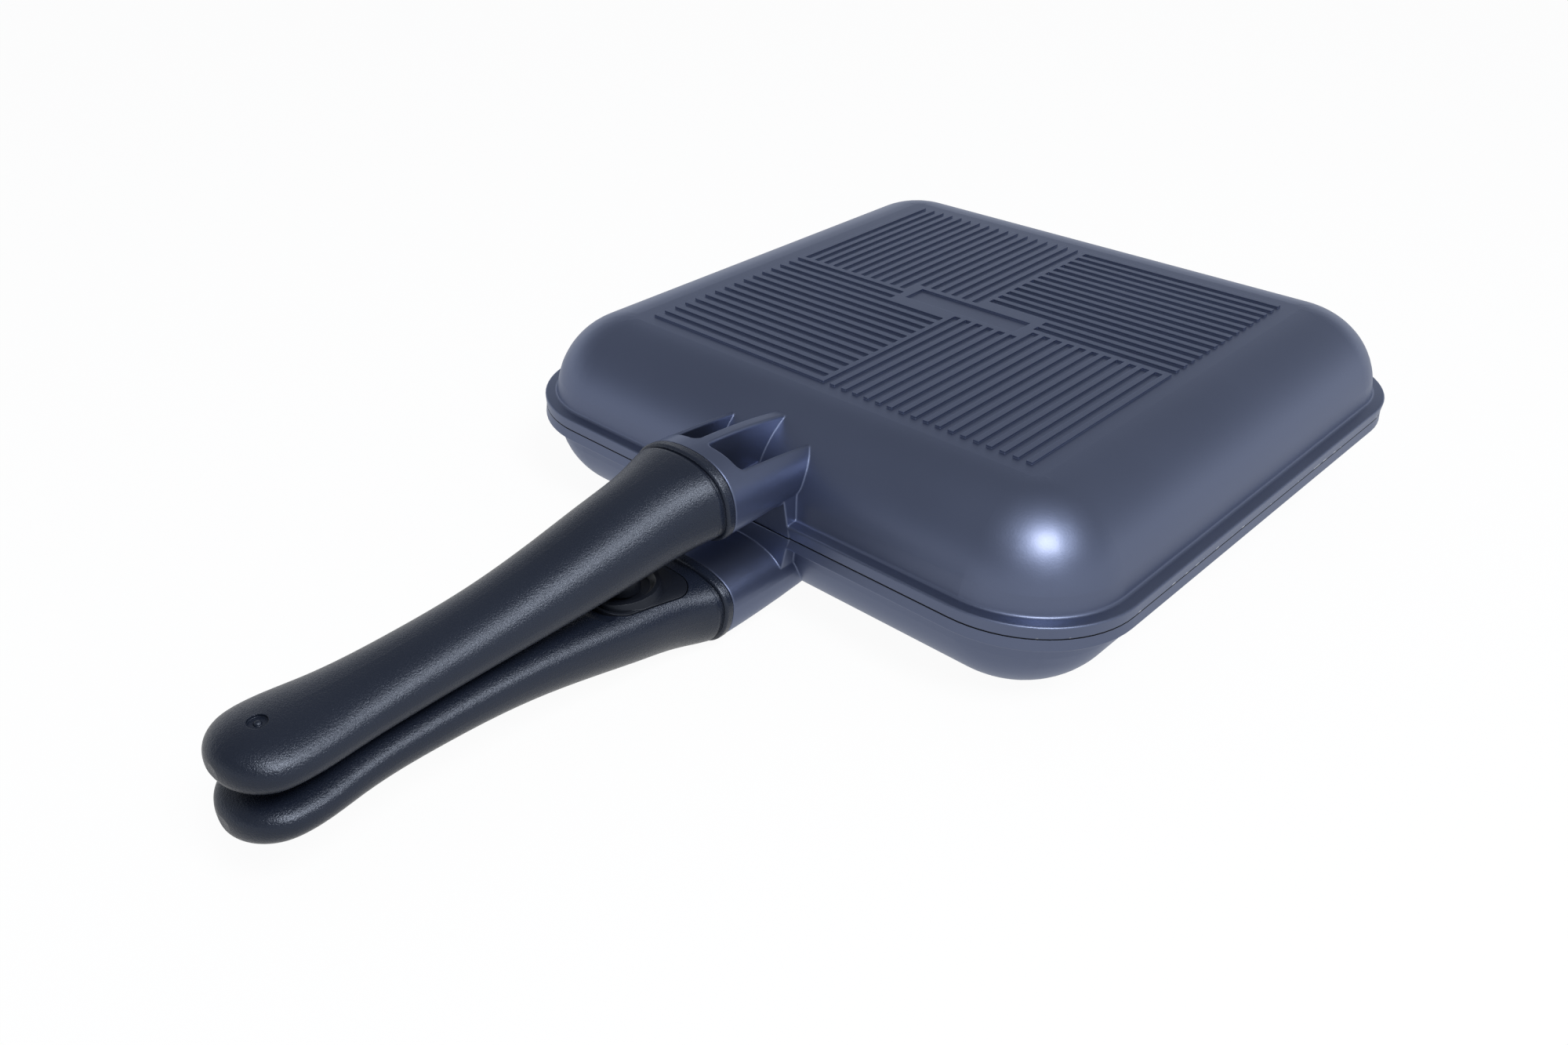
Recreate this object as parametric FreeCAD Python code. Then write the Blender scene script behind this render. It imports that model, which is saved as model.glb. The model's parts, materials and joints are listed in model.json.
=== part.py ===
import FreeCAD, Part
import math
import os

# Double sided flip pan: two cast pan halves closed face to face, hinged at the back, each with a
# moulded handle in front. Millimetres. X across, +Y from the handles to the hinge, +Z up.
# The origin is the centre of the lower pan's base. Each half is modelled in its own half frame,
# with height 0 at the seam and its base on top, and then placed: the upper one as it is, the
# lower one turned over about Y. Heights called "above the seam" are in that half frame.

V = FreeCAD.Vector
X_AXIS = V(1, 0, 0)
Y_AXIS = V(0, 1, 0)
Z_AXIS = V(0, 0, 1)

# Pan body
PAN_HALF_X = 133.2
PAN_HALF_Y = 136.2
HALF_HEIGHT = 37.7
CORNER_R = 42.1
SHOULDER_R = 33.4
SHOULDER_END_DEG = 75.0
WALL = 3.4
SHOULDER_OFFSET = 3.6
RIM_DRAFT = 0.35
RIM_FACE = 0.15
FLANGE_WIDTH = 4.8
FLANGE_TOP = 5.1
FLANGE_SLOPE = 0.3
FLANGE_EDGE_R = 0.7
FOOT_FILLET_R = 1.0
RIM_WIDTH = 8.0

# Rib field on each base, a basket weave of four combs round a bare plaque
RIB_HEIGHT = 0.8
FIELD_HALF_X = 88.05
FIELD_HALF_Y = 91.2
LONG_COUNT = 17
LONG_PITCH = 5.15
LONG_SLOT = 3.02
LONG_FIRST = 85.9
LONG_END_NEAR = 0.97
LONG_END_FAR = 8.7
LONG_SHORTENED = 6
CROSS_COUNT = 15
CROSS_PITCH = 5.98
CROSS_SLOT = 3.5
CROSS_FIRST = 1.56
CROSS_END_NEAR = 1.6
CROSS_END_FAR = 29.8
CROSS_SHORTENED = 2
PLAQUE_HALF_X = 26.0
PLAQUE_HALF_Y = 6.0

# Seal between the halves
GROOVE_R = 37.6
GROOVE_WIDTH = 3.6
GROOVE_DEPTH = 3.0
SEAL_WIDTH = 3.4
SEAL_PROUD = 0.9
CHANNEL_WIDTH = 4.4
CHANNEL_DEPTH = 1.15

# Handle bracket, cast in one with the pan half
JOINT_Y = -162.0
JOINT_HALF_X = 22.8
JOINT_TOP = 37.3
JOINT_BOTTOM = 6.3
BRACKET_WALL_Y = -117.0
BRACKET_WALL_HALF_X = 22.5
BRACKET_WALL_TOP = 33.4
BRACKET_WALL_BOTTOM = 8.2
BRACKET_ROOT_Y = -109.0
BRACKET_ARCH = 0.85
POCKET_CORNER_R = 2.6
POCKET_LIP_R = 0.8
NECK_FRONT_Y = -136.2
NECK_HALF_X = 20.6
NECK_FLARE = 4.0
NECK_HEIGHT = 19.0
RING_BACK_Y = -155.4
POCKET_INNER_X = 2.3
POCKET_FRONT_X = 16.6
POCKET_REAR_X = 17.2
POCKET_FLOOR = 11.5
TANG_END_Y = -196.0
TANG_HALF_X = 9.0
TANG_HALF_Z = 5.0
TANG_START_HEIGHT = 20.2
TANG_END_HEIGHT = 17.8
TANG_TAPER = 0.8
FIT_GAP = 0.2

# Joint gasket and handle
GASKET = 0.4
GASKET_INSET = 0.7
COLLAR_HALF_X = 23.0
COLLAR_TOP = 37.5
COLLAR_BOTTOM = 6.0
BAND_WIDTH = 3.5
GROOVE_LENGTH = 0.8
GROOVE_INSET = 1.5
CREST_WIDTH = 1.4
BAND_EDGE_R = 1.1
BAND_FRONT_R = 0.4
CREST_EDGE_R = 0.7
HANDLE_TIP_Y = -345.1
TIP_LENGTH = 17.2
PART_LINE = 0.42
FULL_TOP = 0.57
FULL_BOTTOM = 0.70
JOINT_LINE = 0.38
JOINT_FULL = 0.66
DIMPLE_Y = -329.4
DIMPLE_R = 3.1
DIMPLE_DEPTH = 1.0
NUB_R = 1.3

# Magnet holder in the seam side of each handle
HOLDER_FRONT_Y = -208.6
HOLDER_BACK_Y = -171.8
HOLDER_FRONT_X = 11.0
HOLDER_BACK_X = 14.8
HOLDER_FRONT_R = 9.0
HOLDER_BACK_R = 7.5
HOLDER_GROOVE = 0.4
FINGER_REACH = 5.8
FINGER_DEPTH = 5.2
SHELF_INSET = 1.0
SHELF_LEVEL = 6.6
HOLDER_FLOOR = 7.7
HOLDER_SEAT = 10.6
POCKET_INSET = 1.4
POCKET_TOP = 12.0
HOLDER_WALL = 1.6
NOTCH_HALF_X = 5.2
DISH_Y = -192.8
DISH_HALF_X = 10.6
DISH_HALF_Y = 12.8
DISH_SLOPE = -2.6
CUP_WALL = 0.9
CUP_FLANK = 1.1
CUP_RIM = 3.4
CUP_FLOOR = 5.4
BOSS_REACH = -4.6
BOSS_R = 6.8
SKIN = 1.1
MAGNET_Y = -194.0
MAGNET_R = 5.5
MAGNET_HEIGHT = 3.5
KEEPER_R = 6.0
KEEPER_HEIGHT = 0.8

# Handle screw, from the holder's pocket up into the tang
SCREW_Y = -181.5
SCREW_R = 2.5
SCREW_HOLE_R = 2.8
TAPPED_R = 2.55
SCREW_TOP = 21.5
SCREW_HEAD_R = 4.2
SCREW_HEAD_HEIGHT = 2.9
RECESS_R = 1.9
RECESS_DEPTH = 1.6
WASHER_R = 4.4
WASHER_HEIGHT = 1.2

# Hinge: an upper knuckle between two lower ones at each side, on a headed pin
HINGE_Y = 143.7
KNUCKLE_R = 6.0
HINGE_X = 58.0
UPPER_KNUCKLE = 15.0
LOWER_KNUCKLE = 9.0
KNUCKLE_GAP = 1.0
EAR_ROOT_Y = 127.7
EAR_ROOT_TOP = 15.0
PIN_R = 2.5
PIN_BORE_R = 2.55
PIN_HEAD_R = 4.2
PIN_HEAD = 1.8
PIN_TAIL = 2.8
THRUST_WASHER = 0.8
THRUST_WASHER_R = 5.2
CLIP_HEIGHT = 0.7
CLIP_R = 4.4
CLIP_GROOVE_R = 1.9
CLIP_MOUTH_DEG = 70.0

# Values that follow from the ones above
CORNER_X = PAN_HALF_X - CORNER_R
CORNER_Y = PAN_HALF_Y - CORNER_R
FLOOR = HALF_HEIGHT - RIB_HEIGHT
HANDLE_FRONT_Y = JOINT_Y - GASKET
CREST_Y = HANDLE_FRONT_Y - BAND_WIDTH - GROOVE_LENGTH
GRIP_START_Y = CREST_Y - CREST_WIDTH

# Grip stations: distance along Y, half width, top and bottom above the seam. The first two keep
# some of the joint's boxier section.
GRIP = [
    (GRIP_START_Y, 21.6, 36.8, 7.2, 0.39, 0.65, 0.66),
    (-173.5, 20.2, 35.9, 6.6, 0.40, 0.63, 0.67),
    (-180.0, 18.9, 34.6, 5.7, 0.41, 0.60, 0.68),
    (-197.0, 17.7, 31.1, 4.4),
    (-220.0, 16.3, 26.1, 2.8),
    (-250.0, 14.8, 20.9, 1.5),
    (-280.0, 14.8, 18.3, 1.15),
    (-308.0, 16.5, 17.4, 1.3),
    (HANDLE_TIP_Y + TIP_LENGTH, 18.2, 17.8, 1.9),
]


def fuse(shapes):
    whole = shapes[0].multiFuse(shapes[1:]) if len(shapes) > 1 else shapes[0]
    return whole.removeSplitter()


def box(x0, x1, y0, y1, z0, z1):
    return Part.makeBox(x1 - x0, y1 - y0, z1 - z0, V(x0, y0, z0))


def face_of(edges):
    return Part.Face(Part.Wire(edges))


def polygon(points):
    return Part.Face(Part.makePolygon(points + points[:1]))


# Pan shell

def shoulder_arc(radius):
    """The shoulder's curve from the flat top down to the wall, and its two end points."""
    def at(degrees):
        turn = math.radians(degrees)
        return V(SHOULDER_OFFSET + radius * math.sin(turn), 0,
                 FLOOR - SHOULDER_R + radius * math.cos(turn))

    top, end = at(0), at(SHOULDER_END_DEG)
    return top, end, Part.Arc(top, at(SHOULDER_END_DEG / 2), end).toShape()


def outer_profile():
    """Half of a corner's section, from the corner's own axis out to the flange."""
    top, end, shoulder = shoulder_arc(SHOULDER_R)
    wall_x = CORNER_R - FLANGE_WIDTH
    foot_start = V(wall_x - 0.1, 0, FLANGE_TOP + FOOT_FILLET_R)
    foot_end = V(wall_x + FOOT_FILLET_R, 0, FLANGE_TOP)
    foot_mid = V(wall_x + FOOT_FILLET_R * 0.28, 0, FLANGE_TOP + FOOT_FILLET_R * 0.3)
    edge_start = V(CORNER_R - FLANGE_EDGE_R, 0, FLANGE_TOP - FLANGE_SLOPE)
    edge_end = V(CORNER_R, 0, FLANGE_TOP - FLANGE_SLOPE - FLANGE_EDGE_R)
    slack = FLANGE_EDGE_R * (1 - math.sqrt(0.5))
    edge_mid = V(CORNER_R - slack, 0, FLANGE_TOP - FLANGE_SLOPE - slack)
    rim = V(CORNER_R - RIM_DRAFT, 0, RIM_FACE)
    axis_low = V(0, 0, RIM_FACE)
    axis_top = V(0, 0, top.z)
    return face_of([
        shoulder,
        Part.makeLine(end, foot_start),
        Part.Arc(foot_start, foot_mid, foot_end).toShape(),
        Part.makeLine(foot_end, edge_start),
        Part.Arc(edge_start, edge_mid, edge_end).toShape(),
        Part.makeLine(edge_end, rim),
        Part.makeLine(rim, axis_low),
        Part.makeLine(axis_low, axis_top),
        Part.makeLine(axis_top, top),
    ])


def cavity_profile():
    """The inside of the pan, a wall's thickness in from the shoulder."""
    top, end, shoulder = shoulder_arc(SHOULDER_R - WALL)
    mouth = V(CORNER_R - RIM_WIDTH, 0, RIM_FACE)
    below = V(CORNER_R - RIM_WIDTH, 0, RIM_FACE - 1)
    axis_low = V(0, 0, RIM_FACE - 1)
    axis_top = V(0, 0, top.z)
    return face_of([
        shoulder,
        Part.makeLine(end, mouth),
        Part.makeLine(mouth, below),
        Part.makeLine(below, axis_low),
        Part.makeLine(axis_low, axis_top),
        Part.makeLine(axis_top, top),
    ])


def round_the_pan(profile, fill=None):
    """Sweep a section round the four corners and along the four sides."""
    corners = ((1, 1), (-1, 1), (-1, -1), (1, -1))
    pieces = []
    for quarter, (side_x, side_y) in enumerate(corners):
        corner = profile.revolve(V(0, 0, 0), Z_AXIS, 90)
        corner.rotate(V(0, 0, 0), Z_AXIS, 90 * quarter)
        corner.translate(V(side_x * CORNER_X, side_y * CORNER_Y, 0))
        length = 2 * (CORNER_Y if quarter % 2 == 0 else CORNER_X)
        side = profile.extrude(V(0, length, 0))
        side.translate(V(0, -length, 0))
        side.rotate(V(0, 0, 0), Z_AXIS, 90 * quarter)
        side.translate(V(side_x * CORNER_X, side_y * CORNER_Y, 0))
        pieces += [corner, side]
    if fill:
        low, high = fill
        pieces.append(box(-CORNER_X, CORNER_X, -CORNER_Y, CORNER_Y, low, high))
    return fuse(pieces)


def ring_profile(width, low, high):
    """A rectangular groove section, centred on the seal's line."""
    inner = GROOVE_R - width / 2
    outer = GROOVE_R + width / 2
    return polygon([V(inner, 0, low), V(outer, 0, low), V(outer, 0, high), V(inner, 0, high)])


# Rib field

def comb_slots():
    """The slots of the two far combs; the near ones are the same turned half round."""
    low = FLOOR
    high = HALF_HEIGHT + 1
    slots = []
    for i in range(LONG_COUNT):
        left = -LONG_FIRST + i * LONG_PITCH
        shortened = i >= LONG_COUNT - LONG_SHORTENED
        end = LONG_END_FAR if shortened else LONG_END_NEAR
        slots.append(box(left, left + LONG_SLOT, end, FIELD_HALF_Y + 2, low, high))
    for i in range(CROSS_COUNT):
        near = CROSS_FIRST + i * CROSS_PITCH
        end = CROSS_END_FAR if i < CROSS_SHORTENED else CROSS_END_NEAR
        slots.append(box(end, FIELD_HALF_X + 2, near, near + CROSS_SLOT, low, high))
    return slots


def rib_field():
    """A raised plate cut into ribs by the slots, with a bare plaque in the middle."""
    plate = box(-FIELD_HALF_X, FIELD_HALF_X, -FIELD_HALF_Y, FIELD_HALF_Y, FLOOR, HALF_HEIGHT)
    cutters = [box(-PLAQUE_HALF_X, PLAQUE_HALF_X, -PLAQUE_HALF_Y, PLAQUE_HALF_Y,
                   FLOOR, HALF_HEIGHT + 1)]
    for half_turn in (0, 180):
        for slot in comb_slots():
            slot.rotate(V(0, 0, 0), Z_AXIS, half_turn)
            cutters.append(slot)
    return plate.cut(cutters)


# Ovals, the common section of bracket, collar and grip

def oval(y, half_width, top, bottom, level=PART_LINE, full_top=FULL_TOP, full_bottom=FULL_BOTTOM):
    """A closed section in the plane of one Y, made of four quarter curves."""
    wide = bottom + level * (top - bottom)
    upper = top - wide
    lower = bottom - wide

    def quarter(side, height, fullness, flip):
        poles = [V(side * half_width, y, wide),
                 V(side * half_width, y, wide + fullness * height),
                 V(side * half_width * fullness, y, wide + height),
                 V(0, y, wide + height)]
        curve = Part.BezierCurve()
        curve.setPoles(poles[::-1] if flip else poles)
        return curve.toShape()

    return Part.Wire([
        quarter(1, upper, full_top, False),
        quarter(-1, upper, full_top, True),
        quarter(-1, lower, full_bottom, False),
        quarter(1, lower, full_bottom, True),
    ])


def joint_oval(y, half_width, top, bottom):
    """The fuller section of the bracket and the collar."""
    return oval(y, half_width, top, bottom, JOINT_LINE, JOINT_FULL, JOINT_FULL)


def slab(y0, y1, half_width, top, bottom):
    """A short straight length of the joint's section."""
    return Part.Face(joint_oval(y0, half_width, top, bottom)).extrude(V(0, y1 - y0, 0))


def wedge(outline, low, high):
    """A plan outline, given as X and Y pairs, raised between two heights."""
    return polygon([V(x, y, low) for x, y in outline]).extrude(V(0, 0, high - low))


def bracket():
    """The open-topped handle bracket, with two pockets each side of a web."""
    middle_y = (JOINT_Y + BRACKET_WALL_Y) / 2
    middle_half_x = (JOINT_HALF_X + BRACKET_WALL_HALF_X) / 2
    middle_top = (JOINT_TOP + BRACKET_WALL_TOP) / 2 + BRACKET_ARCH
    middle_bottom = (JOINT_BOTTOM + BRACKET_WALL_BOTTOM) / 2
    tube = Part.makeLoft([
        joint_oval(JOINT_Y, JOINT_HALF_X, JOINT_TOP, JOINT_BOTTOM),
        joint_oval(middle_y, middle_half_x, middle_top, middle_bottom),
        joint_oval(BRACKET_WALL_Y, BRACKET_WALL_HALF_X, BRACKET_WALL_TOP, BRACKET_WALL_BOTTOM),
        joint_oval(BRACKET_ROOT_Y, BRACKET_WALL_HALF_X, BRACKET_WALL_TOP - 1.5,
                   BRACKET_WALL_BOTTOM),
    ], True, False)
    pockets = []
    for side in (1, -1):
        outline = [
            (side * POCKET_INNER_X, RING_BACK_Y),
            (side * POCKET_FRONT_X, RING_BACK_Y + 1.0),
            (side * POCKET_REAR_X, BRACKET_WALL_Y - 1.0),
            (side * POCKET_REAR_X, BRACKET_ROOT_Y + 5),
            (side * POCKET_INNER_X, BRACKET_ROOT_Y + 5),
        ]
        pocket = wedge(outline, POCKET_FLOOR, HALF_HEIGHT + 5)
        upright = [edge for edge in pocket.Edges
                   if abs(edge.Vertexes[0].X - edge.Vertexes[1].X) < 0.01
                   and abs(edge.Vertexes[0].Y - edge.Vertexes[1].Y) < 0.01
                   and edge.Vertexes[0].Y < BRACKET_WALL_Y - 10]
        pockets.append(pocket.makeFillet(POCKET_CORNER_R, upright))
    opened = tube.cut(pockets)
    lips = [edge for edge in opened.Edges
            if edge.BoundBox.ZMin > POCKET_FLOOR + 8
            and edge.BoundBox.YMin > JOINT_Y + 3
            and edge.BoundBox.YMin < BRACKET_ROOT_Y - 1
            and edge.BoundBox.ZLength < 10]
    return opened.makeFillet(POCKET_LIP_R, lips)


def neck():
    """The upright plate below the bracket, flared towards the seam."""
    low = NECK_HALF_X + NECK_FLARE
    front = polygon([V(-low, NECK_FRONT_Y, RIM_FACE), V(low, NECK_FRONT_Y, RIM_FACE),
                     V(NECK_HALF_X, NECK_FRONT_Y, NECK_HEIGHT),
                     V(-NECK_HALF_X, NECK_FRONT_Y, NECK_HEIGHT)])
    return front.extrude(V(0, -PAN_HALF_Y + 8 - NECK_FRONT_Y, 0))


def tang(gap=0.0):
    """The tapered tongue that enters the handle; the handle's socket is one gap larger."""
    def end(y, height, scale):
        half_x = TANG_HALF_X * scale + gap
        half_z = TANG_HALF_Z * scale + gap
        return Part.makePolygon([V(-half_x, y, height - half_z), V(half_x, y, height - half_z),
                                 V(half_x, y, height + half_z), V(-half_x, y, height + half_z),
                                 V(-half_x, y, height - half_z)])
    return Part.makeLoft([end(JOINT_Y + 0.5, TANG_START_HEIGHT, 1.0),
                          end(TANG_END_Y - gap, TANG_END_HEIGHT, TANG_TAPER)], True, True)


# Hinge

def ear(x0, x1):
    """One knuckle and the arm that joins it to the pan wall, tangent to its round."""
    run = HINGE_Y - EAR_ROOT_Y
    reach = math.hypot(run, EAR_ROOT_TOP)
    bearing = math.atan2(EAR_ROOT_TOP, -run)
    touch = bearing - math.acos(KNUCKLE_R / reach)
    touch_y = HINGE_Y + KNUCKLE_R * math.cos(touch)
    touch_z = KNUCKLE_R * math.sin(touch)
    arm = polygon([V(x0, EAR_ROOT_Y, RIM_FACE), V(x0, HINGE_Y + KNUCKLE_R * 0.8, RIM_FACE),
                   V(x0, touch_y, touch_z), V(x0, EAR_ROOT_Y, EAR_ROOT_TOP)])
    arm = arm.extrude(V(x1 - x0, 0, 0))
    knuckle = Part.makeCylinder(KNUCKLE_R, x1 - x0, V(x0, HINGE_Y, 0), X_AXIS)
    return [arm, knuckle]


def knuckle_spans(upper):
    """The stretches of X that a half's knuckles take, for the hinge at +X."""
    half = UPPER_KNUCKLE / 2
    if upper:
        return [(HINGE_X - half, HINGE_X + half)]
    start = half + KNUCKLE_GAP
    return [(HINGE_X - start - LOWER_KNUCKLE, HINGE_X - start),
            (HINGE_X + start, HINGE_X + start + LOWER_KNUCKLE)]


def ears(upper):
    shapes = []
    for x0, x1 in knuckle_spans(upper):
        shapes += ear(x0, x1) + ear(-x1, -x0)
    return shapes


def hinge_bores():
    reach = HINGE_X + 30
    return Part.makeCylinder(PIN_BORE_R, 2 * reach, V(-reach, HINGE_Y, 0), X_AXIS)


def pan_half(upper):
    """One cast pan half in its half frame."""
    body = round_the_pan(outer_profile(), (RIM_FACE, FLOOR))
    casting = fuse([body, rib_field(), bracket(), neck(), tang()] + ears(upper))
    cavity = round_the_pan(cavity_profile(), (RIM_FACE - 1, FLOOR - WALL))
    if upper:
        seal_way = ring_profile(CHANNEL_WIDTH, RIM_FACE - 1, RIM_FACE + CHANNEL_DEPTH)
    else:
        seal_way = ring_profile(GROOVE_WIDTH, RIM_FACE - 1, RIM_FACE + GROOVE_DEPTH)
    tapped = Part.makeCylinder(TAPPED_R, SCREW_TOP + 0.5, V(0, SCREW_Y, 0), Z_AXIS)
    return casting.cut([cavity, round_the_pan(seal_way), hinge_bores(), tapped])


def rim_seal():
    """The silicone ring: its body fills the groove and its round nose stands proud."""
    half = SEAL_WIDTH / 2
    base = RIM_FACE + GROOVE_DEPTH - 0.05
    nose = half - SEAL_PROUD
    section = face_of([
        Part.makeLine(V(GROOVE_R - half, 0, nose), V(GROOVE_R - half, 0, base)),
        Part.makeLine(V(GROOVE_R - half, 0, base), V(GROOVE_R + half, 0, base)),
        Part.makeLine(V(GROOVE_R + half, 0, base), V(GROOVE_R + half, 0, nose)),
        Part.Arc(V(GROOVE_R + half, 0, nose), V(GROOVE_R, 0, -SEAL_PROUD),
                 V(GROOVE_R - half, 0, nose)).toShape(),
    ])
    return round_the_pan(section)


# Handle

def joint_gasket():
    """A thin heat washer between bracket and handle, set in from both outlines."""
    disc = slab(JOINT_Y, HANDLE_FRONT_Y, JOINT_HALF_X - GASKET_INSET, JOINT_TOP - GASKET_INSET,
                JOINT_BOTTOM + GASKET_INSET)
    return disc.cut(tang(FIT_GAP))


def end_edges(solid, y):
    """The edges of a solid that lie in the plane of one Y."""
    return [edge for edge in solid.Edges
            if abs(edge.BoundBox.YMin - y) < 0.01 and abs(edge.BoundBox.YMax - y) < 0.01]


def collar():
    """A band with a round edge, a shallow groove, and the crest in which the grip's flare ends."""
    band_end = HANDLE_FRONT_Y - BAND_WIDTH
    band = slab(HANDLE_FRONT_Y, band_end, COLLAR_HALF_X, COLLAR_TOP, COLLAR_BOTTOM)
    band = band.makeFillet(BAND_EDGE_R, end_edges(band, band_end))
    band = band.makeFillet(BAND_FRONT_R, end_edges(band, HANDLE_FRONT_Y))
    core = slab(HANDLE_FRONT_Y - 0.5, GRIP_START_Y - 0.5, COLLAR_HALF_X - GROOVE_INSET,
                COLLAR_TOP - GROOVE_INSET, COLLAR_BOTTOM + GROOVE_INSET)
    crest = Part.Face(oval(*GRIP[0])).extrude(V(0, CREST_WIDTH, 0))
    crest = crest.makeFillet(CREST_EDGE_R, end_edges(crest, CREST_Y))
    return [band, core, crest]


def grip():
    """The long grip: its stations, then a round closing tip that ends in a point."""
    sections = [oval(*station) for station in GRIP]
    last_y, half_width, top, bottom = GRIP[-1]
    middle = (top + bottom) / 2
    for step in (0.35, 0.6, 0.8, 0.92, 0.985):
        plan = math.sqrt(1 - step ** 2)
        side = (1 - step ** 2.6) ** (1 / 2.6)
        rise = (top - bottom) / 2 * side
        sections.append(oval(last_y - TIP_LENGTH * step, half_width * plan, middle + rise,
                             middle - rise))
    return Part.makeLoft(sections, True, False)


def holder_plan(inset, low, high):
    """The holder's outline drawn in by an inset: square at the pan's end, round at the other."""
    front_y = HOLDER_FRONT_Y + inset
    back_y = HOLDER_BACK_Y - inset
    outline = wedge([(HOLDER_BACK_X - inset, back_y), (inset - HOLDER_BACK_X, back_y),
                     (inset - HOLDER_FRONT_X, front_y), (HOLDER_FRONT_X - inset, front_y)],
                    low, high)
    for end_y, radius in ((front_y, HOLDER_FRONT_R), (back_y, HOLDER_BACK_R)):
        upright = [edge for edge in outline.Edges
                   if edge.BoundBox.ZLength > 0.5 * (high - low)
                   and abs(edge.BoundBox.YMin - end_y) < 0.01]
        outline = outline.makeFillet(max(radius - inset, 1.0), upright)
    return outline


def oval_plug(grow, low, high, spread):
    """A plug with the dish's oval outline, grown a little, which spreads towards its top."""
    def ring(extra, z):
        edge = Part.Ellipse(V(0, DISH_Y + DISH_HALF_Y + extra, z),
                            V(DISH_HALF_X + extra, DISH_Y, z), V(0, DISH_Y, z))
        return Part.Wire([edge.toShape()])

    return Part.makeLoft([ring(grow, low), ring(grow + spread, high)], True, True)


def handle():
    """The moulded grip with its socket, holder pocket, screw hole and tip dimple."""
    body = fuse(collar() + [grip()])
    seat = holder_plan(-HOLDER_GROOVE, -2, HOLDER_SEAT)
    finger_notch = holder_plan(0, -2, FINGER_DEPTH)
    finger_notch.translate(V(0, -FINGER_REACH, 0))
    pocket = holder_plan(POCKET_INSET - FIT_GAP, HOLDER_SEAT - 1, POCKET_TOP)
    screw_way = Part.makeCylinder(SCREW_HOLE_R, SCREW_TOP + 2, V(0, SCREW_Y, 0), Z_AXIS)
    dimple_top = GRIP[-1][2]
    dimple = Part.makeCylinder(DIMPLE_R, 5, V(0, DIMPLE_Y, dimple_top - DIMPLE_DEPTH), Z_AXIS)
    nub = Part.makeSphere(NUB_R, V(0, DIMPLE_Y, dimple_top - DIMPLE_DEPTH - 0.3))
    hollowed = body.cut([seat, finger_notch, pocket, screw_way, dimple, tang(FIT_GAP)])
    return fuse([hollowed, nub])


# Magnet holder and fastener

def holder(cup):
    """The insert that carries the magnet: a cup in one handle, a boss in the other."""
    plate = grip().common(holder_plan(0, -2, HOLDER_SEAT))
    shelf = holder_plan(SHELF_INSET, -2, SHELF_LEVEL)
    skirt = holder_plan(POCKET_INSET, HOLDER_SEAT, POCKET_TOP - 0.2)
    hollow = holder_plan(POCKET_INSET + HOLDER_WALL, HOLDER_FLOOR, POCKET_TOP + 1)
    screw_notch = box(-NOTCH_HALF_X, NOTCH_HALF_X, SCREW_Y, HOLDER_BACK_Y - POCKET_INSET,
                      HOLDER_FLOOR, POCKET_TOP + 1)
    shell = fuse([plate, skirt]).cut([shelf, hollow, screw_notch])
    well = magnet_base(cup)
    if cup:
        wall = oval_plug(CUP_WALL, CUP_RIM, HOLDER_FLOOR, CUP_FLANK)
        block = Part.makeCylinder(MAGNET_R + 1.2, well + MAGNET_HEIGHT - HOLDER_FLOOR,
                                  V(0, MAGNET_Y, HOLDER_FLOOR), Z_AXIS)
        dish = oval_plug(0, CUP_RIM - 1, CUP_FLOOR, DISH_SLOPE)
        solid = fuse([shell, wall, block]).cut(dish)
    else:
        boss = Part.makeCylinder(BOSS_R, HOLDER_FLOOR - BOSS_REACH, V(0, MAGNET_Y, BOSS_REACH),
                                 Z_AXIS)
        tip = [edge for edge in boss.Edges if edge.BoundBox.ZMax < BOSS_REACH + 0.01]
        solid = fuse([shell, boss.makeFillet(0.9, tip)])
    magnet_way = Part.makeCylinder(MAGNET_R + 0.05, POCKET_TOP - well, V(0, MAGNET_Y, well), Z_AXIS)
    return solid.cut(magnet_way)


def magnet_base(cup):
    return CUP_FLOOR + SKIN if cup else BOSS_REACH + SKIN


def magnet(cup):
    disc = Part.makeCylinder(MAGNET_R, MAGNET_HEIGHT, V(0, MAGNET_Y, magnet_base(cup)), Z_AXIS)
    return disc.makeChamfer(0.4, disc.Edges)


def keeper(cup):
    """The steel plate that closes the magnet's well from behind."""
    low = magnet_base(cup) + MAGNET_HEIGHT
    radius = MAGNET_R if not cup else KEEPER_R
    return Part.makeCylinder(radius, KEEPER_HEIGHT, V(0, MAGNET_Y, low), Z_AXIS)


def handle_screw():
    """Pan-head screw with a cross-free hexagon recess, its head towards the seam."""
    seat = POCKET_TOP - WASHER_HEIGHT
    head = Part.makeCylinder(SCREW_HEAD_R, SCREW_HEAD_HEIGHT,
                             V(0, SCREW_Y, seat - SCREW_HEAD_HEIGHT), Z_AXIS)
    rim = [edge for edge in head.Edges
           if abs(edge.BoundBox.ZMax - (seat - SCREW_HEAD_HEIGHT)) < 0.01]
    head = head.makeFillet(1.2, rim)
    shank = Part.makeCylinder(SCREW_R, SCREW_TOP - seat + 0.5, V(0, SCREW_Y, seat - 0.5), Z_AXIS)
    corners = [V(RECESS_R * math.cos(math.radians(60 * i)),
                 SCREW_Y + RECESS_R * math.sin(math.radians(60 * i)),
                 seat - SCREW_HEAD_HEIGHT - 0.1) for i in range(6)]
    recess = polygon(corners).extrude(V(0, 0, RECESS_DEPTH + 0.1))
    return fuse([head, shank]).cut(recess)


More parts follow.
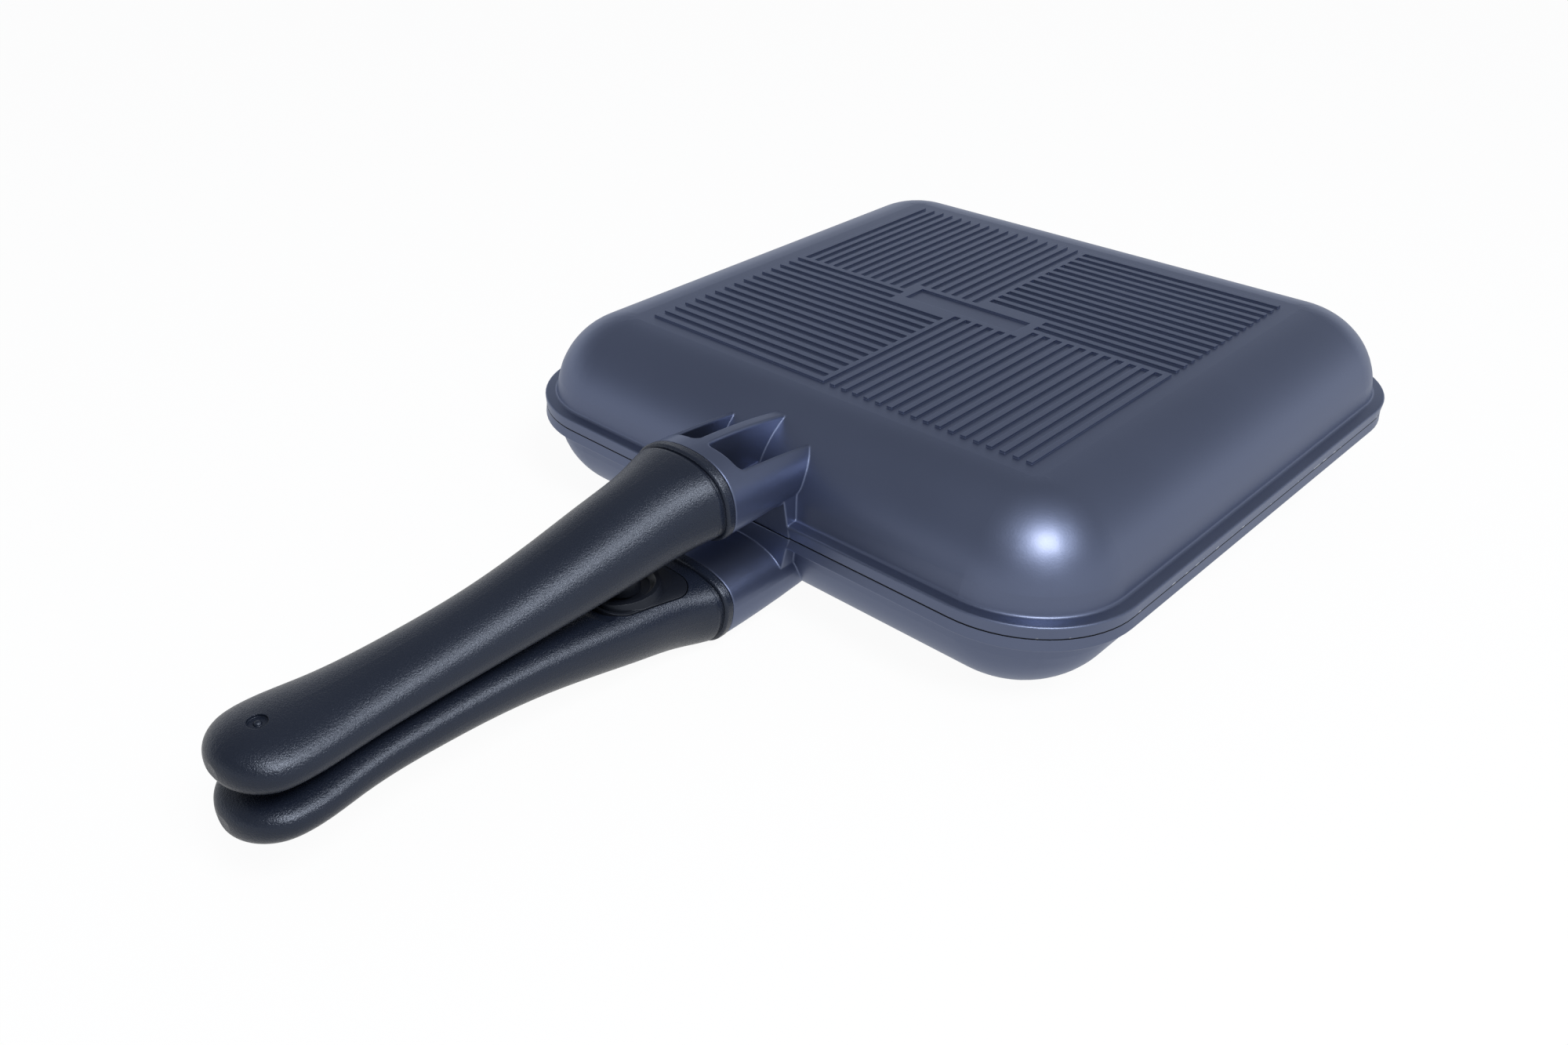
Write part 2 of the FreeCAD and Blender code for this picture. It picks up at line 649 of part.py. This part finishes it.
def split_washer():
    """A spring washer with its cut and a slight set."""
    seat = POCKET_TOP - WASHER_HEIGHT
    ring = Part.makeCylinder(WASHER_R, WASHER_HEIGHT, V(0, SCREW_Y, seat), Z_AXIS)
    hole = Part.makeCylinder(SCREW_R + 0.1, WASHER_HEIGHT, V(0, SCREW_Y, seat), Z_AXIS)
    cut = box(-0.5, 0.5, 0, WASHER_R + 1, -1, WASHER_HEIGHT + 1)
    cut.rotate(V(0, 0, 0), Y_AXIS, 25)
    cut.translate(V(0, SCREW_Y, seat))
    return ring.cut([hole, cut])


# Hinge hardware, for the hinge at +X; the other side is its mirror image

def hinge_span():
    start = UPPER_KNUCKLE / 2 + KNUCKLE_GAP + LOWER_KNUCKLE
    return HINGE_X - start, HINGE_X + start


def hinge_pin():
    """Shank, domed head on the outer side and a clip groove at the inner end."""
    inner, outer = hinge_span()
    shank = Part.makeCylinder(PIN_R, outer - inner + PIN_TAIL, V(inner - PIN_TAIL, HINGE_Y, 0),
                              X_AXIS)
    tail = [edge for edge in shank.Edges if edge.BoundBox.XMax < inner - PIN_TAIL + 0.01]
    shank = shank.makeChamfer(0.5, tail)
    head = Part.makeCylinder(PIN_HEAD_R, PIN_HEAD, V(outer, HINGE_Y, 0), X_AXIS)
    crown = [edge for edge in head.Edges if edge.BoundBox.XMin > outer + PIN_HEAD - 0.01]
    head = head.makeFillet(1.2, crown)
    groove = clip_ring(PIN_R + 1, CLIP_GROOVE_R, CLIP_HEIGHT + 0.1)
    return fuse([shank, head]).cut(groove)


def clip_ring(outer_r, inner_r, height):
    start = hinge_span()[0] - 0.8 - height / 2
    whole = Part.makeCylinder(outer_r, height, V(start, HINGE_Y, 0), X_AXIS)
    return whole.cut(Part.makeCylinder(inner_r, height, V(start, HINGE_Y, 0), X_AXIS))


def hinge_clip():
    """A retaining ring with an open mouth, pressed into the pin's groove."""
    ring = clip_ring(CLIP_R, CLIP_GROOVE_R + 0.02, CLIP_HEIGHT)
    start = hinge_span()[0] - 3
    half = math.radians(CLIP_MOUTH_DEG / 2)
    far = CLIP_R * 2
    mouth = polygon([V(start, HINGE_Y, 0),
                     V(start, HINGE_Y + far * math.sin(half), -far * math.cos(half)),
                     V(start, HINGE_Y - far * math.sin(half), -far * math.cos(half))])
    return ring.cut(mouth.extrude(V(6, 0, 0)))


def hinge_washers():
    """Two thrust washers, one in each gap between the knuckles."""
    rings = []
    gap_slack = (KNUCKLE_GAP - THRUST_WASHER) / 2
    for start in (HINGE_X - UPPER_KNUCKLE / 2 - KNUCKLE_GAP + gap_slack,
                  HINGE_X + UPPER_KNUCKLE / 2 + gap_slack):
        disc = Part.makeCylinder(THRUST_WASHER_R, THRUST_WASHER, V(start, HINGE_Y, 0), X_AXIS)
        bore = Part.makeCylinder(PIN_BORE_R, THRUST_WASHER, V(start, HINGE_Y, 0), X_AXIS)
        rings.append(disc.cut(bore))
    return Part.makeCompound(rings)


# Placing and writing

def place_upper(shape):
    placed = shape.copy()
    placed.translate(V(0, 0, HALF_HEIGHT))
    return placed


def place_lower(shape):
    placed = shape.copy()
    placed.rotate(V(0, 0, 0), Y_AXIS, 180)
    placed.translate(V(0, 0, HALF_HEIGHT))
    return placed


def both_sides(prefix, shape):
    """The same hinge piece at +X and its mirror image at -X."""
    right = place_upper(shape)
    return {prefix + "_right": right, prefix + "_left": right.mirror(V(0, 0, 0), X_AXIS)}


def nodes():
    named = {}
    for side, place in (("upper", place_upper), ("lower", place_lower)):
        cup = side == "lower"
        named[side + "_pan"] = place(pan_half(side == "upper"))
        named[side + "_handle"] = place(handle())
        named[side + "_joint_gasket"] = place(joint_gasket())
        named[side + "_magnet_holder"] = place(holder(cup))
        named[side + "_magnet"] = place(magnet(cup))
        named[side + "_magnet_keeper"] = place(keeper(cup))
        named[side + "_handle_screw"] = place(handle_screw())
        named[side + "_spring_washer"] = place(split_washer())
    named["rim_seal"] = place_lower(rim_seal())
    named.update(both_sides("hinge_pin", hinge_pin()))
    named.update(both_sides("hinge_clip", hinge_clip()))
    named.update(both_sides("hinge_washers", hinge_washers()))
    return named


def main():
    os.makedirs("parts", exist_ok=True)
    for name, shape in nodes().items():
        print(name, len(shape.Solids), "solid", round(shape.Volume / 1000, 2), "cm3",
              "valid" if shape.isValid() else "NOT VALID")
        shape.exportStep("parts/" + name + ".step")


main()
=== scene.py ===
# %% [markdown]
# # A double sided flip pan
# Two cast pan halves lie face to face, hinged at the back, each with a moulded grip in front. The
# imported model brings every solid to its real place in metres, so the work here is the finish: the
# soft edges that a casting has, the satin coating, the grained grips, and a plain studio.

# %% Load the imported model
import json
import math

import bpy
from mathutils import Matrix, Vector


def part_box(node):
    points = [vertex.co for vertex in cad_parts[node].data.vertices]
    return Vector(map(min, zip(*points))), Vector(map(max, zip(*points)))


MM = 0.001

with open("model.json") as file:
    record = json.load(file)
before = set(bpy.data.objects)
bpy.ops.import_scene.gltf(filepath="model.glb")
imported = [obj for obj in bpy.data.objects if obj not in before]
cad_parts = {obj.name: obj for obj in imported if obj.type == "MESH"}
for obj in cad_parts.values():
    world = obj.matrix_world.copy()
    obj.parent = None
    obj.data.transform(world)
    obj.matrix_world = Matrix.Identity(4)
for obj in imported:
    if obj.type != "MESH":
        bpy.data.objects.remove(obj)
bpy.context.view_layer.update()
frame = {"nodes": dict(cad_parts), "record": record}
nodes = frame["nodes"]

# %% [markdown]
# ## The camera
# The photograph was taken from the front right and a little above, with a moderate wide lens. The
# camera's place was fitted to the rims, the rib field and the silhouette. The picture was cropped
# after it was taken, so the lens axis is left of the frame's middle: a lens shift stands for that.

# %% Where the camera stands and how it looks
IMAGE_WIDTH = 2000
FOCAL_PIXELS = 1720.4
AXIS_LEFT_PIXELS = 195.2
AXIS_UP_PIXELS = 12.7
SENSOR_WIDTH = 36

camera_place = Vector((279.1, -447.9, 293.5)) * MM
azimuth, elevation, roll = (math.radians(a) for a in (47.114, 31.414, -1.299))
forward = Vector((-math.sin(azimuth) * math.cos(elevation),
                  math.cos(azimuth) * math.cos(elevation), -math.sin(elevation)))
level_right = forward.cross(Vector((0, 0, 1))).normalized()
level_up = level_right.cross(forward)
right = level_right * math.cos(roll) + level_up * math.sin(roll)
up = -level_right * math.sin(roll) + level_up * math.cos(roll)
print("camera looks along", [round(x, 3) for x in forward])

# %% The camera itself
camera_data = bpy.data.cameras.new("photo_camera")
camera_data.sensor_width = SENSOR_WIDTH
camera_data.lens = SENSOR_WIDTH * FOCAL_PIXELS / IMAGE_WIDTH
camera_data.shift_x = AXIS_LEFT_PIXELS / IMAGE_WIDTH
camera_data.shift_y = -AXIS_UP_PIXELS / IMAGE_WIDTH
camera_data.clip_start = 20 * MM
camera = bpy.data.objects.new("photo_camera", camera_data)
bpy.context.scene.collection.objects.link(camera)
axes = Matrix((right, up, -forward)).transposed().to_4x4()
camera.matrix_world = Matrix.Translation(camera_place) @ axes
bpy.context.scene.camera = camera
print("lens", round(camera_data.lens, 2), "mm")

# %% [markdown]
# ## The lamps
# A square soft box hangs over the near right corner and gives the round highlight on the
# shoulder. A second one stands behind the grips, where a long moulding mirrors it as a streak.
# Alone it would leave its own spot on the pan too, so light linking keeps it to the grips and
# their inserts, as a photographer does with a black card.

# %% A helper for soft boxes
def soft_box(name, target, direction, distance, width, height, power):
    """A rectangular lamp that looks at a target from a direction."""
    lamp = bpy.data.lights.new(name, "AREA")
    lamp.shape = "RECTANGLE"
    lamp.size = width
    lamp.size_y = height
    lamp.energy = power
    holder = bpy.data.objects.new(name, lamp)
    bpy.context.scene.collection.objects.link(holder)
    direction = Vector(direction).normalized()
    holder.location = Vector(target) + direction * distance
    holder.rotation_euler = (-direction).to_track_quat("-Z", "Y").to_euler()
    holder.visible_camera = False
    return holder


# %% The two lamps
NEAR_SHOULDER = Vector((109, -114, 65)) * MM
GRIPS_MIDDLE = Vector((0, -250, 50)) * MM
LIT_BY_STRIP = ("upper_handle", "lower_handle", "upper_magnet_holder", "lower_magnet_holder")

key = soft_box("key_box", NEAR_SHOULDER, direction=(0.52, -0.25, 0.82), distance=1.2,
               width=0.42, height=0.42, power=12.5)
strip = soft_box("grip_strip", GRIPS_MIDDLE, direction=(0.555, 0.44, 0.69), distance=1.3,
                 width=0.6, height=0.35, power=7.5)
receivers = bpy.data.collections.new("lit_by_strip")
for name in LIT_BY_STRIP:
    receivers.objects.link(nodes[name])
strip.light_linking.receiver_collection = receivers
print("lamps at", [[round(x, 2) for x in lamp.location] for lamp in (key, strip)])

# %% [markdown]
# ## Floor and surroundings
# The floor is pale paper. What the camera sees of it, and what the coating mirrors, is mostly a
# glow that only those rays meet, so the background is white with no more light on the pan, and
# the paper's own share keeps a faint shadow. The world does the same: it is white to the camera,
# a gradient from a bright horizon to a darker top in the gloss, and a soft fill otherwise.

# %% A helper that picks out kinds of ray
SEEN = ("Is Camera Ray",)
MIRRORED = ("Is Glossy Ray", "Is Transmission Ray")


def light_path_mask(tree, kinds):
    """A value that is 1 for the named kinds of ray and 0 for the others."""
    path = tree.nodes.new("ShaderNodeLightPath")
    total = path.outputs[kinds[0]]
    for kind in kinds[1:]:
        join = tree.nodes.new("ShaderNodeMath")
        join.operation = "MAXIMUM"
        tree.links.new(total, join.inputs[0])
        tree.links.new(path.outputs[kind], join.inputs[1])
        total = join.outputs[0]
    return total


# %% The floor
GLOW_SHARE = 0.95
MIRRORED_GLOW = 0.75

bpy.ops.object.select_all(action="DESELECT")
bpy.ops.mesh.primitive_plane_add(size=12, location=(0, 0, 0))
floor = bpy.context.object
floor.name = "studio_floor"

floor_paint = bpy.data.materials.new("floor_paper")
floor_paint.use_nodes = True
tree = floor_paint.node_tree
tree.nodes.clear()
link = tree.links.new
paper = tree.nodes.new("ShaderNodeBsdfDiffuse")
paper.inputs["Color"].default_value = (0.86, 0.87, 0.9, 1)
glow = tree.nodes.new("ShaderNodeEmission")
glow_strength = tree.nodes.new("ShaderNodeMapRange")
glow_strength.inputs["To Min"].default_value = MIRRORED_GLOW
share = tree.nodes.new("ShaderNodeMath")
share.operation = "MULTIPLY"
share.inputs[1].default_value = GLOW_SHARE
blend_floor = tree.nodes.new("ShaderNodeMixShader")
out = tree.nodes.new("ShaderNodeOutputMaterial")
link(light_path_mask(tree, SEEN + MIRRORED), share.inputs[0])
link(light_path_mask(tree, SEEN), glow_strength.inputs["Value"])
link(glow_strength.outputs["Result"], glow.inputs["Strength"])
link(share.outputs[0], blend_floor.inputs[0])
link(paper.outputs[0], blend_floor.inputs[1])
link(glow.outputs[0], blend_floor.inputs[2])
link(blend_floor.outputs[0], out.inputs["Surface"])
floor.data.materials.append(floor_paint)
print("floor shows a glow share of", GLOW_SHARE)

# %% The world
HORIZON_UP_TO = 0.05
TOP_FROM = 0.5
HORIZON_STRENGTH = 1.0
TOP_STRENGTH = 0.33
FILL_STRENGTH = 0.5

world = bpy.data.worlds.new("studio")
bpy.context.scene.world = world
world.use_nodes = True
tree = world.node_tree
tree.nodes.clear()
link = tree.links.new
direction = tree.nodes.new("ShaderNodeTexCoord")
split = tree.nodes.new("ShaderNodeSeparateXYZ")
link(direction.outputs["Generated"], split.inputs[0])
height = tree.nodes.new("ShaderNodeMapRange")
height.interpolation_type = "SMOOTHSTEP"
height.inputs["From Min"].default_value = HORIZON_UP_TO
height.inputs["From Max"].default_value = TOP_FROM
height.inputs["To Min"].default_value = HORIZON_STRENGTH
height.inputs["To Max"].default_value = TOP_STRENGTH
link(split.outputs["Z"], height.inputs["Value"])
backdrop = tree.nodes.new("ShaderNodeBackground")
backdrop.inputs["Color"].default_value = (0.92, 0.95, 1, 1)
link(height.outputs["Result"], backdrop.inputs["Strength"])
fill = tree.nodes.new("ShaderNodeBackground")
fill.inputs["Color"].default_value = (0.9, 0.94, 1, 1)
fill.inputs["Strength"].default_value = FILL_STRENGTH
white = tree.nodes.new("ShaderNodeBackground")
white.inputs["Color"].default_value = (1, 1, 1, 1)
mirrored = tree.nodes.new("ShaderNodeMixShader")
seen = tree.nodes.new("ShaderNodeMixShader")
out = tree.nodes.new("ShaderNodeOutputWorld")
link(light_path_mask(tree, MIRRORED), mirrored.inputs[0])
link(fill.outputs[0], mirrored.inputs[1])
link(backdrop.outputs[0], mirrored.inputs[2])
link(light_path_mask(tree, SEEN), seen.inputs[0])
link(mirrored.outputs[0], seen.inputs[1])
link(white.outputs[0], seen.inputs[2])
link(seen.outputs[0], out.inputs["Surface"])

bpy.context.scene.view_settings.view_transform = "Standard"
print("world fill", FILL_STRENGTH)

# %% [markdown]
# ## Finishes
# Every finish here has some fine tooth: the coating's orange peel, the moulding's grain, the
# polish lines of steel. One node group makes that tooth from noise on Object coordinates, and
# each material sets its own scale and strength.

# %% A shared group for fine surface tooth
def tooth_group():
    """A fine height and broad patches, both from noise on Object coordinates."""
    group = bpy.data.node_groups.new("surface_tooth", "ShaderNodeTree")
    face = group.interface
    for name, kind, default in (("Scale", "NodeSocketFloat", 900.0),
                                ("Stretch", "NodeSocketVector", (1, 1, 1)),
                                ("Patch Scale", "NodeSocketFloat", 30.0)):
        face.new_socket(name=name, in_out="INPUT", socket_type=kind).default_value = default
    for name in ("Height", "Patches"):
        face.new_socket(name=name, in_out="OUTPUT", socket_type="NodeSocketFloat")
    made = group.nodes
    link = group.links.new
    inputs = made.new("NodeGroupInput")
    outputs = made.new("NodeGroupOutput")
    place = made.new("ShaderNodeTexCoord")
    stretch = made.new("ShaderNodeVectorMath")
    stretch.operation = "MULTIPLY"
    link(place.outputs["Object"], stretch.inputs[0])
    link(inputs.outputs["Stretch"], stretch.inputs[1])
    fine = made.new("ShaderNodeTexNoise")
    fine.inputs["Detail"].default_value = 3
    fine.inputs["Roughness"].default_value = 0.6
    link(stretch.outputs[0], fine.inputs["Vector"])
    link(inputs.outputs["Scale"], fine.inputs["Scale"])
    broad = made.new("ShaderNodeTexNoise")
    broad.inputs["Detail"].default_value = 4
    link(place.outputs["Object"], broad.inputs["Vector"])
    link(inputs.outputs["Patch Scale"], broad.inputs["Scale"])
    link(fine.outputs["Fac"], outputs.inputs["Height"])
    link(broad.outputs["Fac"], outputs.inputs["Patches"])
    return group


TOOTH = tooth_group()
print("group", TOOTH.name)

# %% [markdown]
# ### The edges of a casting
# Sand and coating round every edge of a cast pan, and that round is what catches the light as a
# fine bright line. A bevel in the mesh would do it too, but the solids are exact and stay as they
# are, so a Bevel node bends the normals instead. Its radius is not the same everywhere: a rib is
# under a millimetre high, while the bracket runs out of the shoulder with a wider round.

# %% Helpers for sums and ramps inside a node group
def math_node(group, operation, first, second=None):
    """One sum on values or sockets, and its result."""
    node = group.nodes.new("ShaderNodeMath")
    node.operation = operation
    for socket, value in zip(node.inputs, (first, second)):
        if isinstance(value, float):
            socket.default_value = value
        elif value is not None:
            group.links.new(value, socket)
    return node.outputs[0]


def ramp(group, value, start, end, low, high):
    """A value that goes from low to high while another goes from start to end."""
    node = group.nodes.new("ShaderNodeMapRange")
    node.inputs["From Min"].default_value = start
    node.inputs["From Max"].default_value = end
    node.inputs["To Min"].default_value = low
    node.inputs["To Max"].default_value = high
    group.links.new(value, node.inputs["Value"])
    return node.outputs["Result"]


def new_group(name, results):
    """An empty node group that puts out one value for each name."""
    group = bpy.data.node_groups.new(name, "ShaderNodeTree")
    for result in results:
        group.interface.new_socket(name=result, in_out="OUTPUT", socket_type="NodeSocketFloat")
    return group, group.nodes.new("NodeGroupOutput").inputs


def object_place(group):
    """The Object coordinates, as one vector and as three values."""
    whole = group.nodes.new("ShaderNodeTexCoord").outputs["Object"]
    split = group.nodes.new("ShaderNodeSeparateXYZ")
    group.links.new(whole, split.inputs[0])
    return whole, split.outputs


# %% A shared group for the round that each edge of the casting has
BODY_EDGE = 0.7 * MM
BRACKET_EDGE = 1.2 * MM
RIB_EDGE = 0.3 * MM
BRACKET_HALF_X = 26 * MM
BRACKET_BACK_Y = -104 * MM
RIB_DEPTH = 1.2 * MM
BLEND_WIDTH = 1 * MM
RIB_BLEND = 0.25 * MM
pan_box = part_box("upper_pan")
pan_half_x = pan_box[1][0]
seam = pan_box[1][2] / 2
rib_foot = seam - RIB_DEPTH


def edge_group():
    """The radius of an edge: small on the ribs, large where the bracket meets the shoulder."""
    group, results = new_group("casting_edges", ["Radius"])
    place = object_place(group)[1]
    aside = math_node(group, "ABSOLUTE", place["X"])
    height = math_node(group, "ABSOLUTE", math_node(group, "SUBTRACT", place["Z"], seam))
    across = ramp(group, aside, BRACKET_HALF_X, BRACKET_HALF_X + BLEND_WIDTH,
                  BRACKET_EDGE, BODY_EDGE)
    along = ramp(group, place["Y"], BRACKET_BACK_Y - BLEND_WIDTH, BRACKET_BACK_Y,
                 BRACKET_EDGE, BODY_EDGE)
    on_ribs = ramp(group, height, rib_foot - RIB_BLEND, rib_foot, BRACKET_EDGE, RIB_EDGE)
    smallest = math_node(group, "MINIMUM", math_node(group, "MINIMUM", across, along), on_ribs)
    group.links.new(smallest, results["Radius"])
    return group


EDGES = edge_group()
print("seam at", round(seam, 4), "ribs start", round(rib_foot, 4), "from it")

# %% [markdown]
# ### The joint between the rims
# Where the two rims meet, a dark band of painted shade stands for the shadow in their hair of a
# gap, and the lip above it is worn bright in spots on the right, where the halves knock together.
# Both are masks that follow the rim's outline, a square with round corners, within a millimetre of
# its outer wall.

# %% A shared group for the painted shade in the rim gap and the wear at the rims
PAN_HALF_Y = 136.2 * MM
CORNER_RADIUS = 42.1 * MM
WALL_BAND = 0.7 * MM
PAINTED_SHADE_HALF = 0.22 * MM
WEAR_ABOVE = 0.45 * MM
WEAR_HALF = 0.2 * MM
WEAR_SCALE = 190
WORN_FROM = 0.6
WORN_FULLY = 0.63
SOFT = 0.1 * MM


def seam_shade_and_wear_group():
    """Two masks at the joint between the rims: painted shade for the gap, and the worn spots beside
    it.
    """
    group, results = new_group("rim_shade_and_wear", ["Painted Gap Shade", "Wear"])
    whole, place = object_place(group)
    squares = []
    for axis, half in (("X", pan_half_x), ("Y", PAN_HALF_Y)):
        aside = math_node(group, "ABSOLUTE", place[axis])
        past_corner = math_node(group, "SUBTRACT", aside, half - CORNER_RADIUS)
        beyond = math_node(group, "MAXIMUM", past_corner, 0.0)
        squares.append(math_node(group, "MULTIPLY", beyond, beyond))
    reach = math_node(group, "SQRT", math_node(group, "ADD", *squares))
    inset = math_node(group, "ABSOLUTE", math_node(group, "SUBTRACT", reach, CORNER_RADIUS))
    at_wall = ramp(group, inset, WALL_BAND, WALL_BAND + SOFT, 1, 0)
    height = math_node(group, "SUBTRACT", place["Z"], seam)
    # Painted shade: a dark band at the seam's height stands for the shadow in the gap between the
    # rims.
    in_painted_shade = ramp(group, math_node(group, "ABSOLUTE", height), PAINTED_SHADE_HALF, PAINTED_SHADE_HALF + SOFT, 1, 0)
    from_lip = math_node(group, "ABSOLUTE", math_node(group, "SUBTRACT", height, WEAR_ABOVE))
    on_lip = ramp(group, from_lip, WEAR_HALF, WEAR_HALF + SOFT, 1, 0)
    spots = group.nodes.new("ShaderNodeTexNoise")
    spots.inputs["Scale"].default_value = WEAR_SCALE
    group.links.new(whole, spots.inputs["Vector"])
    worn = ramp(group, spots.outputs["Fac"], WORN_FROM, WORN_FULLY, 0, 1)
    at_right = ramp(group, place["X"], pan_half_x - CORNER_RADIUS / 2, pan_half_x, 0, 1)
    wear = math_node(group, "MULTIPLY", math_node(group, "MULTIPLY", at_wall, on_lip),
                     math_node(group, "MULTIPLY", worn, at_right))
    group.links.new(math_node(group, "MULTIPLY", at_wall, in_painted_shade), results["Painted Gap Shade"])
    group.links.new(wear, results["Wear"])
    return group


SEAM_SHADE_AND_WEAR = seam_shade_and_wear_group()
print("rim outline", round(pan_half_x, 4), "by", PAN_HALF_Y, "corner", CORNER_RADIUS)

# %% [markdown]
# ### One helper for all finishes
# Each finish is a Principled material. Its colour and roughness drift a little with the tooth's
# broad patches, its relief comes from the fine height, and small edges are rounded as above. The
# coating is a dark blue metal under a thin clear coat: that gives the dense satin sheen and the
# whiter core of the highlight, which a plain plastic doesn't have.

# %% A helper that lays out one finish
SMALL_EDGE = 0.3 * MM
RELIEF_DEPTH = 0.2 * MM
# The colour of the painted shade that stands for the shadow in the rim gap; the worn colour is real
# wear.
PAINTED_GAP_SHADE_COLOUR = (0.01, 0.012, 0.018, 1)
WORN_COLOUR = (0.62, 0.64, 0.68, 1)


def finish(name, dark, light, roughness, tooth_scale, bump, metallic=0.0, specular=0.5,
           patch_scale=30.0, stretch=(1, 1, 1), spread=0.05, coat=0.0, coat_roughness=0.15,
           edges=None, shade_and_wear=None, tint_of_gloss=(1, 1, 1), speckled=False):
    """A Principled material whose colour and roughness vary a little with the tooth."""
    paint = bpy.data.materials.new(name)
    paint.use_nodes = True
    made = paint.node_tree.nodes
    link = paint.node_tree.links.new
    shader = made["Principled BSDF"]
    shader.inputs["Metallic"].default_value = metallic
    shader.inputs["Specular IOR Level"].default_value = specular
    shader.inputs["Coat Weight"].default_value = coat
    shader.inputs["Coat Roughness"].default_value = coat_roughness
    shader.inputs["Specular Tint"].default_value = (*tint_of_gloss, 1)
    tooth = made.new("ShaderNodeGroup")
    tooth.node_tree = TOOTH
    tooth.inputs["Scale"].default_value = tooth_scale
    tooth.inputs["Stretch"].default_value = stretch
    tooth.inputs["Patch Scale"].default_value = patch_scale
    tint = made.new("ShaderNodeMix")
    tint.data_type = "RGBA"
    tint.inputs["A"].default_value = (*dark, 1)
    tint.inputs["B"].default_value = (*light, 1)
    link(tooth.outputs["Patches"], tint.inputs["Factor"])
    colour = tint.outputs["Result"]
    if shade_and_wear:
        shade_and_wear_masks = made.new("ShaderNodeGroup")
        shade_and_wear_masks.node_tree = shade_and_wear
        # The rim gap gets painted shade, a dark colour for its shadow, and the lip beside it gets
        # its wear spots.
        for mask, shade in (("Painted Gap Shade", PAINTED_GAP_SHADE_COLOUR), ("Wear", WORN_COLOUR)):
            layer = made.new("ShaderNodeMix")
            layer.data_type = "RGBA"
            layer.inputs["B"].default_value = shade
            link(shade_and_wear_masks.outputs[mask], layer.inputs["Factor"])
            link(colour, layer.inputs["A"])
            colour = layer.outputs["Result"]
    link(colour, shader.inputs["Base Color"])
    rough = made.new("ShaderNodeMapRange")
    rough.inputs["To Min"].default_value = roughness - spread
    rough.inputs["To Max"].default_value = roughness + spread
    link(tooth.outputs["Height" if speckled else "Patches"], rough.inputs["Value"])
    link(rough.outputs["Result"], shader.inputs["Roughness"])
    round_edges = made.new("ShaderNodeBevel")
    round_edges.samples = 8
    if edges:
        radius = made.new("ShaderNodeGroup")
        radius.node_tree = edges
        link(radius.outputs["Radius"], round_edges.inputs["Radius"])
    else:
        round_edges.inputs["Radius"].default_value = SMALL_EDGE
    relief = made.new("ShaderNodeBump")
    relief.inputs["Strength"].default_value = bump
    relief.inputs["Distance"].default_value = RELIEF_DEPTH
    link(tooth.outputs["Height"], relief.inputs["Height"])
    link(round_edges.outputs["Normal"], relief.inputs["Normal"])
    link(relief.outputs["Normal"], shader.inputs["Normal"])
    return paint


# %% Coating, grips and inserts
COOL_METAL = (0.8, 0.86, 1)
COOL_PLASTIC = (0.76, 0.84, 1)
COOL_INSERT = (0.84, 0.9, 1)

FINISHES = {
    "coated_aluminium": finish("coated_aluminium", (0.118, 0.142, 0.225), (0.137, 0.164, 0.256),
                               roughness=0.46, tooth_scale=1500, bump=0.12, metallic=1.0,
                               patch_scale=18, coat=0.4, coat_roughness=0.27, edges=EDGES,
                               shade_and_wear=SEAM_SHADE_AND_WEAR, tint_of_gloss=COOL_METAL),
    "grip_phenolic": finish("grip_phenolic", (0.004, 0.006, 0.013), (0.008, 0.011, 0.02),
                            roughness=0.3, tooth_scale=1700, bump=0.7, specular=0.52,
                            patch_scale=25, spread=0.17, tint_of_gloss=COOL_PLASTIC,
                            speckled=True),
    "insert_plastic": finish("insert_plastic", (0.005, 0.006, 0.01), (0.008, 0.01, 0.015),
                             roughness=0.36, tooth_scale=1200, bump=0.15, specular=0.3,
                             tint_of_gloss=COOL_INSERT),
}
print("finishes seen in the photograph", sorted(FINISHES))

# %% Seal, gaskets, steel and magnets
FINISHES["seal_silicone"] = finish("seal_silicone", (0.13, 0.13, 0.14), (0.17, 0.17, 0.18),
                                   roughness=0.5, tooth_scale=800, bump=0.1)
FINISHES["gasket_fibre"] = finish("gasket_fibre", (0.012, 0.012, 0.014), (0.02, 0.02, 0.022),
                                  roughness=0.8, tooth_scale=700, bump=0.3)
FINISHES["steel"] = finish("steel", (0.52, 0.52, 0.53), (0.64, 0.64, 0.65), roughness=0.28,
                           tooth_scale=300, bump=0.2, metallic=1.0, stretch=(0.1, 1, 1))
FINISHES["magnet_nickel"] = finish("magnet_nickel", (0.6, 0.59, 0.56), (0.7, 0.69, 0.66),
                                   roughness=0.2, tooth_scale=500, bump=0.08, metallic=1.0)
print("all finishes", sorted(FINISHES))

# %% [markdown]
# ## Dress the model
# The record names a material slot for every node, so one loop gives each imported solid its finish
# and nothing is left in the plain grey it came in.

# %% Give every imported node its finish
for part in frame["record"]["subparts"]:
    node = nodes[part["node"]]
    node.data.materials.clear()
    node.data.materials.append(FINISHES[part["material_slot"]])
print(len(nodes), "nodes have a finish")
